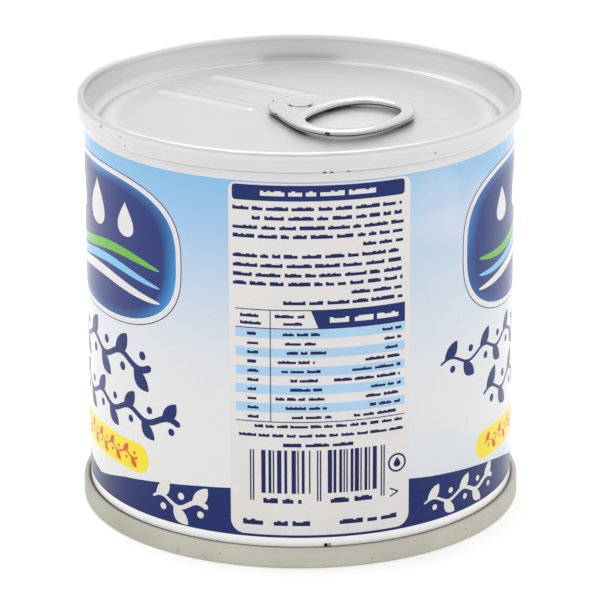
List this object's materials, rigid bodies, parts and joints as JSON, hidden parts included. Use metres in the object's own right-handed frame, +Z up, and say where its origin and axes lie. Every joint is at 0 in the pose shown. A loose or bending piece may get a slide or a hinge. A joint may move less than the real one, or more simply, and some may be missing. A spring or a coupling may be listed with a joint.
{
  "type": "evaporated milk can",
  "caption": "Short round food can with seamed ends, a printed wall and an easy-open lid with a ring tab, shut and full.",
  "frame": {"origin": "centre of the circle that the can stands on, at the level of its foot", "axes": "+Z up along the can's axis; -Y is the side with the panel of small print; +X to its right"},
  "size_m": [0.0654, 0.0654, 0.0624],
  "materials": {
    "printed_wall": "varnished print on tinplate, satin gloss",
    "base_metal": "bare tinplate, satin",
    "lid_metal": "lacquered, satin",
    "tab_metal": "bright satin",
    "rivet_metal": "satin"
  },
  "bodies": {
    "root": {"can_body": "printed_wall", "base_end": "base_metal", "top_end": "lid_metal", "pull_tab": "tab_metal", "rivet": "rivet_metal"}
  },
  "joints": []
}
